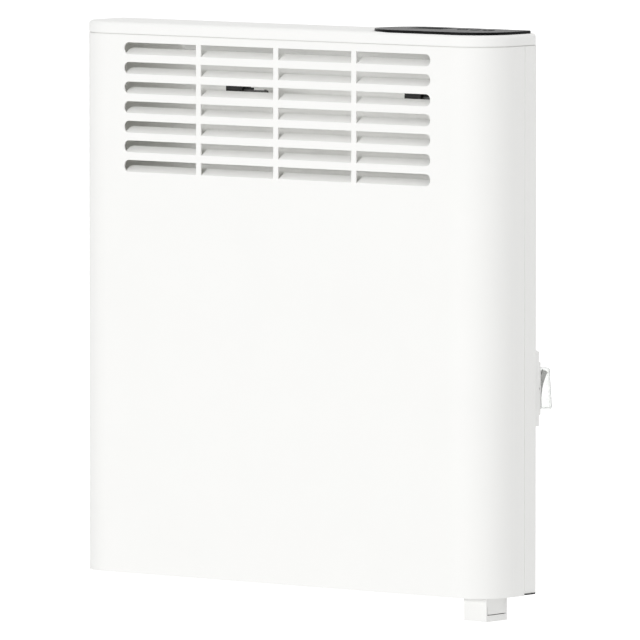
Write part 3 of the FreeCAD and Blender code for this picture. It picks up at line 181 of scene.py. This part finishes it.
class Shader:
    """A small helper that adds nodes to one material and links them."""

    def __init__(self, name):
        self.material = bpy.data.materials.new(name)
        self.material.use_nodes = True
        self.tree = self.material.node_tree
        self.tree.nodes.clear()
        output = self.tree.nodes.new("ShaderNodeOutputMaterial")
        self.surface = self.tree.nodes.new("ShaderNodeBsdfPrincipled")
        self.tree.links.new(self.surface.outputs[0], output.inputs["Surface"])
        self.place = self.tree.nodes.new("ShaderNodeTexCoord").outputs["Object"]

    def set(self, name, number):
        """One number all over the surface."""
        self.surface.inputs[name].default_value = number

    def feed(self, name, source):
        """A texture on one of the surface's inputs."""
        self.tree.links.new(source, self.surface.inputs[name])

    def noise(self, size, detail=2.0, roughness=0.5, stretch=None):
        """Noise whose grains are about the given size in metres."""
        node = self.tree.nodes.new("ShaderNodeTexNoise")
        node.inputs["Scale"].default_value = 1.0 / size
        node.inputs["Detail"].default_value = detail
        node.inputs["Roughness"].default_value = roughness
        source = self.place
        if stretch:
            mapping = self.tree.nodes.new("ShaderNodeMapping")
            mapping.inputs["Scale"].default_value = stretch
            self.tree.links.new(source, mapping.inputs["Vector"])
            source = mapping.outputs[0]
        self.tree.links.new(source, node.inputs["Vector"])
        return node.outputs["Fac"]

    def ramp(self, source, stops):
        """Colours along a factor."""
        node = self.tree.nodes.new("ShaderNodeValToRGB")
        band = node.color_ramp
        while len(band.elements) < len(stops):
            band.elements.new(0.5)
        for element, (position, colour) in zip(band.elements, stops):
            element.position = position
            element.color = tuple(colour) + (1.0,)
        self.tree.links.new(source, node.inputs["Fac"])
        return node.outputs["Color"]

    def vary(self, name, source, middle, swing):
        """A number that follows noise, as far to each side of its middle as the swing says."""
        self.feed(name, add_span(self.tree, source, NOISE_LOW, NOISE_HIGH, middle - swing, middle + swing))

    def height(self):
        """How high a point lies in the heater's frame."""
        node = self.tree.nodes.new("ShaderNodeSeparateXYZ")
        self.tree.links.new(self.place, node.inputs[0])
        return node.outputs["Z"]

    def bump(self, source, depth):
        """Relief of a depth in metres."""
        node = self.tree.nodes.new("ShaderNodeBump")
        node.inputs["Distance"].default_value = depth
        self.tree.links.new(source, node.inputs["Height"])
        self.feed("Normal", node.outputs[0])


def grey(level):
    """An even grey."""
    return (level, level, level)


def scaled(colour, factor):
    """A darker or lighter shade of a colour."""
    return tuple(channel * factor for channel in colour)


def coated(name, colour, roughness, grain, relief, spread=0.012, gloss=0.5, seam_top=None):
    """Paint or moulded plastic with a faint drift, a fine grain and, below seam_top, a painted shadow in
    the seam.
    """
    shader = Shader(name)
    shade = scaled(colour, 1 - spread)
    drift = shader.noise(DRIFT_SIZE, detail=3.0)
    stops = [(NOISE_LOW, shade), (NOISE_HIGH, colour)]
    if seam_top is not None:
        # Below the seam's top the factor falls to nothing, where the ramp has the painted shadow of the
        # seam
        above = add_span(shader.tree, shader.height(), seam_top, seam_top + SEAM_BLEND, 0.0, 1.0)
        drift = add_math(shader.tree, "MULTIPLY", drift, above)
        stops = [(0.0, PAINTED_SEAM_SHADOW), (SEAM_END, shade), (NOISE_HIGH, colour)]
    shader.feed("Base Color", shader.ramp(drift, stops))
    texture = shader.noise(grain, detail=3.0, roughness=0.6)
    shader.vary("Roughness", texture, roughness, COAT_SWING)
    shader.bump(texture, relief)
    shader.set("Specular IOR Level", gloss)
    return shader.material


def powder_coat():
    return coated("white_powder_coat", WHITE_PAINT, roughness=0.6, grain=1.1 * MM, relief=12 * MICRON,
                  gloss=0.25)


def white_moulding(name, seam_top=None):
    return coated(name, WHITE_PLASTIC, roughness=0.55, grain=0.6 * MM, relief=10 * MICRON,
                  gloss=0.25, seam_top=seam_top)


def black_panel():
    return coated("black_panel", grey(0.003), roughness=0.34, grain=0.5 * MM, relief=2 * MICRON,
                  spread=0.2, gloss=0.08)


def dark_window():
    return coated("dark_window", (0.002, 0.002, 0.003), roughness=0.5, grain=10 * MM, relief=1 * MICRON,
                  spread=0.2, gloss=0.006)


def black_keys():
    return coated("black_keys", grey(0.008), roughness=0.4, grain=0.4 * MM, relief=6 * MICRON,
                  spread=0.2, gloss=0.15)


def grey_rocker():
    return coated("grey_rocker", (0.53, 0.53, 0.52), roughness=0.4, grain=0.5 * MM, relief=8 * MICRON,
                  spread=0.05)


def coil_coated_sheet():
    return coated("coil_coated_sheet", WHITE_SHEET, roughness=0.6, grain=2 * MM, relief=10 * MICRON,
                  gloss=0.25)


def dark_moulding():
    return coated("dark_moulding", grey(0.015), roughness=0.5, grain=0.6 * MM, relief=10 * MICRON,
                  spread=0.3, gloss=0.3)


def circuit_board():
    return coated("board_green", (0.03, 0.16, 0.07), roughness=0.35, grain=2 * MM, relief=10 * MICRON,
                  spread=0.3)


def grey_insulator():
    return coated("insulator_grey", (0.5, 0.5, 0.49), roughness=0.5, grain=0.8 * MM, relief=10 * MICRON,
                  spread=0.1)


def pale_print():
    return coated("pale_print", (0.62, 0.62, 0.61), roughness=0.6, grain=0.3 * MM, relief=4 * MICRON,
                  spread=0.05)


# Near-black for the strip that paints the shadow under the rear panel's edge
def painted_shadow_dark():
    return coated("painted_shadow_dark", (0.05, 0.05, 0.048), roughness=0.7, grain=0.4 * MM, relief=10 * MICRON,
                  spread=0.2)


def bare_metal(name, colour, roughness, grain, stretch=None, spread=0.12):
    """Sheet or cast metal with a drawn or spangled tone."""
    shader = Shader(name)
    texture = shader.noise(grain, detail=4.0, roughness=0.6, stretch=stretch)
    stops = [(NOISE_LOW, scaled(colour, 1 - spread)), (NOISE_HIGH, colour)]
    shader.feed("Base Color", shader.ramp(texture, stops))
    shader.vary("Roughness", texture, roughness, METAL_SWING)
    shader.bump(texture, METAL_RELIEF)
    shader.set("Metallic", 1.0)
    return shader.material


def zinc_sheet():
    return bare_metal("zinc_sheet", (0.50, 0.51, 0.52), roughness=0.42, grain=12 * MM, spread=0.2)


def spring_steel():
    return bare_metal("spring_steel", grey(0.10), roughness=0.4, grain=2 * MM, stretch=(1, 1, 6))


def cast_alloy():
    return bare_metal("cast_alloy", (0.78, 0.78, 0.77), roughness=0.55, grain=1.2 * MM)


def contact_brass():
    return bare_metal("contact_brass", (0.62, 0.55, 0.40), roughness=0.35, grain=3 * MM, stretch=(1, 1, 8))


def zinc_screw():
    return bare_metal("zinc_screw", (0.66, 0.67, 0.68), roughness=0.35, grain=1 * MM)


def clear_plastic():
    """Thin soft plastic with a faint haze."""
    shader = Shader("clear_soft_plastic")
    haze = shader.noise(HAZE_SIZE)
    shader.feed("Base Color", shader.ramp(haze, [(NOISE_LOW, CLEAR_DULL), (NOISE_HIGH, CLEAR_BRIGHT)]))
    shader.vary("Roughness", haze, CLEAR_ROUGHNESS, COAT_SWING)
    shader.set("IOR", CLEAR_INDEX)
    shader.set("Transmission Weight", 1.0)
    return shader.material


def make_materials():
    """One material for each slot of the record, one for the top cover, and those of the small parts."""
    cover_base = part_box("front_casing")[1].z + SEAM_HEIGHT
    return {
        "casing_white": powder_coat(),
        "moulding_white": white_moulding("white_moulding"),
        "panel_black": black_panel(),
        "window_dark": dark_window(),
        "key_black": black_keys(),
        "rocker_grey": grey_rocker(),
        "clear_cover": clear_plastic(),
        "zinc_steel": zinc_sheet(),
        "shield_white": coil_coated_sheet(),
        "spring_steel": spring_steel(),
        "element_alloy": cast_alloy(),
        "contact_metal": contact_brass(),
        "device_dark": dark_moulding(),
        "board_green": circuit_board(),
        "insulator_grey": grey_insulator(),
        # The top cover's material paints shadow into the seam's recess below its base
        "cover_white_painted_seam": white_moulding("white_cover_painted_seam_shadow", seam_top=cover_base),
        "print_pale": pale_print(),
        # The dark strip under the rear panel's edge is painted shadow
        "shadow_strip_dark": painted_shadow_dark(),
        "screw_steel": zinc_screw(),
    }


def dress(node, material):
    """A CAD node's only material."""
    mesh = nodes[node].data
    mesh.materials.clear()
    mesh.materials.append(materials[material])


def dress_nodes():
    """Every CAD node takes the material of its slot in the record, and the top cover one with a painted
    seam shadow.
    """
    for row in frame["record"]["subparts"]:
        dress(row["node"], row["material_slot"])
    dress("top_cover", "cover_white_painted_seam")


def make_piece(name, form, body, material):
    """A new piece from a bmesh, which rides on a body and takes one of the materials."""
    bmesh.ops.recalc_face_normals(form, faces=form.faces)
    mesh = bpy.data.meshes.new(name)
    form.to_mesh(mesh)
    form.free()
    mesh.materials.append(materials[material])
    piece = bpy.data.objects.new(name, mesh)
    bpy.context.scene.collection.objects.link(piece)
    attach(piece, body)


def add_outline(form, outline, height, spot):
    """The points of a plane outline at a height, placed by a matrix."""
    return [form.verts.new(spot @ Vector((x, y, height))) for x, y in outline]


def add_band(form, first, second):
    """Quads between two closed rings of as many points."""
    for index in range(len(first)):
        after = (index + 1) % len(first)
        form.faces.new((first[index], first[after], second[after], second[index]))


def add_prism(form, outline, low, high, spot):
    """A closed prism over a plane outline, placed by a matrix."""
    bottom = add_outline(form, outline, low, spot)
    top = add_outline(form, outline, high, spot)
    form.faces.new(bottom)
    form.faces.new(top)
    add_band(form, bottom, top)


def circle(radius, angles):
    """Points at these angles round the middle."""
    return [(radius * math.cos(angle), radius * math.sin(angle)) for angle in angles]


def full_turn(steps):
    """Even angles all the way round."""
    return [2 * math.pi * step / steps for step in range(steps)]


def bar(length, width, offset=0.0):
    """A bar along x with round ends, moved along y."""
    reach = (length - width) / 2
    points = []
    for side, start in ((1, -math.pi / 2), (-1, math.pi / 2)):
        angles = [start + math.pi * step / ARC_STEPS for step in range(ARC_STEPS + 1)]
        points += [(side * reach + x, offset + y) for x, y in circle(width / 2, angles)]
    return points


def cross(length, width):
    """A plus sign."""
    far = length / 2
    half = width / 2
    quarter = [(far, -half), (far, half), (half, half)]
    points = []
    for turn in range(4):
        cosine = round(math.cos(turn * math.pi / 2))
        sine = round(math.sin(turn * math.pi / 2))
        points += [(x * cosine - y * sine, x * sine + y * cosine) for x, y in quarter]
    return points


def make_key_marks():
    """Printed signs on the three keys: menu bars, minus and plus."""
    signs = {
        "menu": [bar(MARK_LENGTH, MARK_LINE, step * MARK_PITCH) for step in (-1, 0, 1)],
        "minus": [bar(MARK_LENGTH, MARK_LINE)],
        "plus": [cross(MARK_LENGTH, MARK_LINE)],
    }
    for key, outlines in signs.items():
        low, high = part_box("key_" + key)
        middle = (low + high) / 2
        spot = Matrix.Translation((middle.x, middle.y, high.z))
        form = bmesh.new()
        for outline in outlines:
            add_prism(form, outline, -MARK_ROOT, MARK_RISE, spot)
        make_piece("mark_" + key, form, key + "_key", "print_pale")


def rocker_spot(side):
    """A place on the rocker's dished face at rest, above its middle for side 1 and below it for side -1."""
    joint = joints["rocker_tip"]
    axis = Vector(joint["axis"])
    upright = Vector((0, 0, 1))
    outward = upright.cross(axis)
    # The face's own axes: across, up and out
    basis = Matrix((-axis, upright, outward)).transposed().to_4x4()
    tilt = Matrix.Rotation(-ROCKER_REST_TILT, 4, axis)
    lean = math.asin(ROCKER_MARK_PLACE / ROCKER_DISH_RADIUS)
    depth = ROCKER_FACE + ROCKER_DISH_RADIUS * (1 - math.cos(lean))
    face = Matrix.Translation((0, side * ROCKER_MARK_PLACE, depth)) @ Matrix.Rotation(side * lean, 4, "X")
    return Matrix.Translation(Vector(joint["pos_m"])) @ tilt @ basis @ face


def make_rocker_marks():
    """The usual on and off signs, a bar and a ring, on the dished face of the rocker."""
    form = bmesh.new()
    upright_bar = [(-y, x) for x, y in bar(MARK_LENGTH, MARK_LINE)]
    add_prism(form, upright_bar, -ROCKER_MARK_ROOT, MARK_RISE, rocker_spot(1))
    spot = rocker_spot(-1)
    outer = circle(MARK_LENGTH / 2, full_turn(MARK_STEPS))
    inner = circle(MARK_LENGTH / 2 - MARK_LINE, full_turn(MARK_STEPS))
    rings = [
        add_outline(form, outer, -ROCKER_MARK_ROOT, spot),
        add_outline(form, outer, MARK_RISE, spot),
        add_outline(form, inner, MARK_RISE, spot),
        add_outline(form, inner, -ROCKER_MARK_ROOT, spot),
    ]
    for first, second in zip(rings, rings[1:] + rings[:1]):
        add_band(form, first, second)
    make_piece("mark_rocker", form, "rocker", "print_pale")


def facing_rear(x, y, z):
    """A place whose z axis points at the wall."""
    return Matrix.Translation((x, y, z)) @ Matrix.Rotation(-math.pi / 2, 4, "X")


def facing_front(x, y, z):
    """A place whose z axis points away from the wall."""
    return Matrix.Translation((x, y, z)) @ Matrix.Rotation(math.pi / 2, 4, "X")


def rear_plane():
    """The flat of the rear panel, which is in line with the back of the top cover."""
    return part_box("top_cover")[1].y


def add_screw(form, spot):
    """A pan-head screw with a cross recess, its head along the matrix's z axis."""
    outline = cross(SCREW_RADIUS * SCREW_CROSS_LENGTH, SCREW_RADIUS * SCREW_CROSS_WIDTH)
    # The rings have two points for each corner of the recess, so that the top is flat faces between them
    edge = math.atan2(SCREW_CROSS_WIDTH, SCREW_CROSS_LENGTH)
    between = (edge + math.pi / 4) / 2
    quarter = [-edge, 0.0, edge, between, math.pi / 4, math.pi / 2 - between]
    angles = [turn * math.pi / 2 + angle for turn in range(4) for angle in quarter]
    rings = [add_outline(form, circle(SCREW_RADIUS * width, angles), SCREW_HEIGHT * rise, spot)
             for width, rise in SCREW_PROFILE]
    form.faces.new(rings[0])
    for first, second in zip(rings, rings[1:]):
        add_band(form, first, second)
    mouth = add_outline(form, outline, SCREW_HEIGHT, spot)
    floor = add_outline(form, outline, SCREW_HEIGHT * SCREW_CROSS_FLOOR, spot)
    add_band(form, mouth, floor)
    form.faces.new(floor)
    rim = rings[-1]
    for index, corner in enumerate(mouth):
        outer = [rim[(2 * index + step) % len(rim)] for step in range(3)]
        form.faces.new(outer + [mouth[(index + 1) % len(mouth)], corner])


def make_screws():
    """Screws in the rear panel's corners and in the back of the switch box."""
    low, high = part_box("rear_panel")
    form = bmesh.new()
    for x in (low.x + SCREW_INSET, high.x - SCREW_INSET):
        for z in (low.z + SCREW_MARGIN, high.z - SCREW_MARGIN):
            add_screw(form, facing_rear(x, rear_plane(), z))
    low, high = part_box("switch_plate")
    for z in (low.z + BOX_SCREW_MARGIN, high.z - BOX_SCREW_MARGIN):
        add_screw(form, facing_rear(low.x + BOX_SCREW_MARGIN, high.y, z))
    make_piece("rear_screws", form, "heater", "screw_steel")


def add_rivet(form, spot):
    """A domed rivet head along the matrix's z axis."""
    rings = []
    for lift in RIVET_RINGS:
        outline = circle(RIVET_RADIUS * math.sqrt(1 - lift ** 2), full_turn(RIVET_STEPS))
        rings.append(add_outline(form, outline, RIVET_HEIGHT * lift, spot))
    tip = form.verts.new(spot @ Vector((0, 0, RIVET_HEIGHT)))
    form.faces.new(rings[0])
    for first, second in zip(rings, rings[1:]):
        add_band(form, first, second)
    for index, vertex in enumerate(rings[-1]):
        form.faces.new((vertex, rings[-1][(index + 1) % RIVET_STEPS], tip))


def make_rivets():
    """Rivets that hold the heat shield's spacers to the rear panel."""
    low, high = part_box("shield_spacers")
    form = bmesh.new()
    for x in (low.x + RIVET_INSET, high.x - RIVET_INSET):
        for z in (low.z + RIVET_INSET, high.z - RIVET_INSET):
            add_rivet(form, facing_rear(x, rear_plane(), z))
    make_piece("shield_rivets", form, "heater", "screw_steel")


def make_edge_shadow_strip():
    """A dark profile over the lower edge of the rear panel's right side, which paints the shadow under that
    edge.
    """
    low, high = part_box("rear_panel")
    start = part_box("front_casing")[1].y + SHADOW_STRIP_WALL
    outline = [
        (-SHADOW_STRIP_WALL, -SHADOW_STRIP_WALL),
        (SHEET + SHADOW_STRIP_WALL, -SHADOW_STRIP_WALL),
        (SHEET + SHADOW_STRIP_WALL, SHADOW_STRIP_RISE),
        (SHEET, SHADOW_STRIP_RISE),
        (SHEET, 0),
        (0, 0),
        (0, SHADOW_STRIP_RISE),
        (-SHADOW_STRIP_WALL, SHADOW_STRIP_RISE),
    ]
    form = bmesh.new()
    add_prism(form, outline, 0, SHADOW_STRIP_LENGTH, facing_front(high.x - SHEET, start + SHADOW_STRIP_LENGTH, low.z))
    make_piece("edge_shadow_strip", form, "heater", "shadow_strip_dark")


def make_slot_corners():
    """The round lower corners at both ends of each row of slots, as fillets in the front sheet."""
    low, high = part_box("front_casing")
    outline = [(0.0, 0.0)]
    for step in range(ARC_STEPS + 1):
        angle = math.pi / 2 * step / ARC_STEPS
        outline.append((SLOT_CORNER * (1 - math.sin(angle)), SLOT_CORNER * (1 - math.cos(angle))))
    form = bmesh.new()
    for row in range(SLOT_ROWS):
        foot = high.z - SLOT_DROP - SLOT_HEIGHT - row * SLOT_PITCH
        for side in (-1, 1):
            mirror = Matrix.Diagonal((-side, 1, 1, 1))
            spot = facing_front(side * SLOT_FIELD / 2, low.y + SHEET, foot) @ mirror
            add_prism(form, outline, 0, SHEET - SLOT_SINK, spot)
    make_piece("slot_corners", form, "heater", "casing_white")


def make_camera():
    """The camera at the azimuth and elevation named above, aimed at its target."""
    data = bpy.data.cameras.new("camera")
    data.lens = CAMERA_LENS
    data.sensor_width = CAMERA_SENSOR
    data.clip_start = CAMERA_NEAR
    data.clip_end = FLOOR_SIZE
    camera = bpy.data.objects.new("camera", data)
    bpy.context.scene.collection.objects.link(camera)
    azimuth = math.radians(CAMERA_AZIMUTH)
    elevation = math.radians(CAMERA_ELEVATION)
    level = math.cos(elevation)
    back = Vector((math.sin(azimuth) * level, -math.cos(azimuth) * level, math.sin(elevation)))
    camera.location = CAMERA_TARGET + back * CAMERA_DISTANCE
    camera.rotation_euler = (-back).to_track_quat("-Z", "Y").to_euler()
    bpy.context.scene.camera = camera


def mix_background(tree, light, shown, output):
    """One shader as light, and another where camera, mirror or clear rays show the background."""
    path = tree.nodes.new("ShaderNodeLightPath")
    directly = path.outputs["Is Camera Ray"]
    for name in ("Is Glossy Ray", "Is Transmission Ray"):
        directly = add_math(tree, "MAXIMUM", directly, path.outputs[name])
    mix = tree.nodes.new("ShaderNodeMixShader")
    tree.links.new(directly, mix.inputs[0])
    tree.links.new(light.outputs[0], mix.inputs[1])
    tree.links.new(shown.outputs[0], mix.inputs[2])
    tree.links.new(mix.outputs[0], output.inputs["Surface"])


def make_world():
    """Soft light, stronger from above and weaker from the sides, and white where it is seen directly."""
    world = bpy.data.worlds.new("studio")
    bpy.context.scene.world = world
    world.use_nodes = True
    tree = world.node_tree
    tree.nodes.clear()
    direction = tree.nodes.new("ShaderNodeTexCoord")
    parts = tree.nodes.new("ShaderNodeSeparateXYZ")
    tree.links.new(direction.outputs["Generated"], parts.inputs[0])
    sideways = parts.outputs["X"]
    level = add_span(tree, parts.outputs["Z"], 0.0, 1.0, AMBIENT, AMBIENT + AMBIENT_RISE)
    level = add_math(tree, "ADD", level, add_span(tree, sideways, -1.0, 0.0, -AMBIENT_LEFT, 0.0))
    level = add_math(tree, "ADD", level, add_span(tree, sideways, 0.0, 1.0, 0.0, -AMBIENT_RIGHT))
    light = tree.nodes.new("ShaderNodeBackground")
    light.inputs["Color"].default_value = PURE_WHITE
    tree.links.new(level, light.inputs["Strength"])
    shown = tree.nodes.new("ShaderNodeBackground")
    shown.inputs["Color"].default_value = PURE_WHITE
    shown.inputs["Strength"].default_value = 1.0
    mix_background(tree, light, shown, tree.nodes.new("ShaderNodeOutputWorld"))


def floor_material():
    """Pale paint that glows up to white where it is seen directly, and still takes a shadow."""
    material = bpy.data.materials.new("pale_floor")
    material.use_nodes = True
    tree = material.node_tree
    tree.nodes.clear()
    paint = tree.nodes.new("ShaderNodeBsdfDiffuse")
    paint.inputs["Color"].default_value = grey(FLOOR_PAINT) + (1.0,)
    glow = tree.nodes.new("ShaderNodeEmission")
    glow.inputs["Color"].default_value = PURE_WHITE
    glow.inputs["Strength"].default_value = FLOOR_GLOW
    shown = tree.nodes.new("ShaderNodeAddShader")
    tree.links.new(paint.outputs[0], shown.inputs[0])
    tree.links.new(glow.outputs[0], shown.inputs[1])
    mix_background(tree, paint, shown, tree.nodes.new("ShaderNodeOutputMaterial"))
    return material


def make_floor():
    """A wide floor well below the heater, which hangs on a wall."""
    low = cad_box[0].z - FLOOR_DROP
    half = FLOOR_SIZE / 2
    corners = [(-half, -half, low), (half, -half, low), (half, half, low), (-half, half, low)]
    mesh = bpy.data.meshes.new("floor")
    mesh.from_pydata(corners, [], [(0, 1, 2, 3)])
    mesh.materials.append(floor_material())
    floor = bpy.data.objects.new("floor", mesh)
    bpy.context.scene.collection.objects.link(floor)


def make_lamp(name, place, width, power):
    """A wide, low lamp in front, at a height from which its light passes between the louvres."""
    data = bpy.data.lights.new(name, "AREA")
    data.shape = "RECTANGLE"
    data.size = width
    data.size_y = LAMP_HEIGHT
    data.energy = power
    lamp = bpy.data.objects.new(name, data)
    bpy.context.scene.collection.objects.link(lamp)
    lamp.visible_camera = False
    lamp.location = place
    lamp.rotation_euler = (CAMERA_TARGET - place).to_track_quat("-Z", "Y").to_euler()


bpy.context.scene.view_settings.view_transform = "Standard"
bpy.context.scene.cycles.diffuse_bounces = DIFFUSE_BOUNCES
materials = make_materials()
dress_nodes()
make_key_marks()
make_rocker_marks()
make_screws()
make_rivets()
make_edge_shadow_strip()
make_slot_corners()
make_camera()
make_world()
make_floor()
make_lamp("key", KEY_PLACE, KEY_WIDTH, KEY_POWER)
make_lamp("fill", FILL_PLACE, FILL_WIDTH, FILL_POWER)
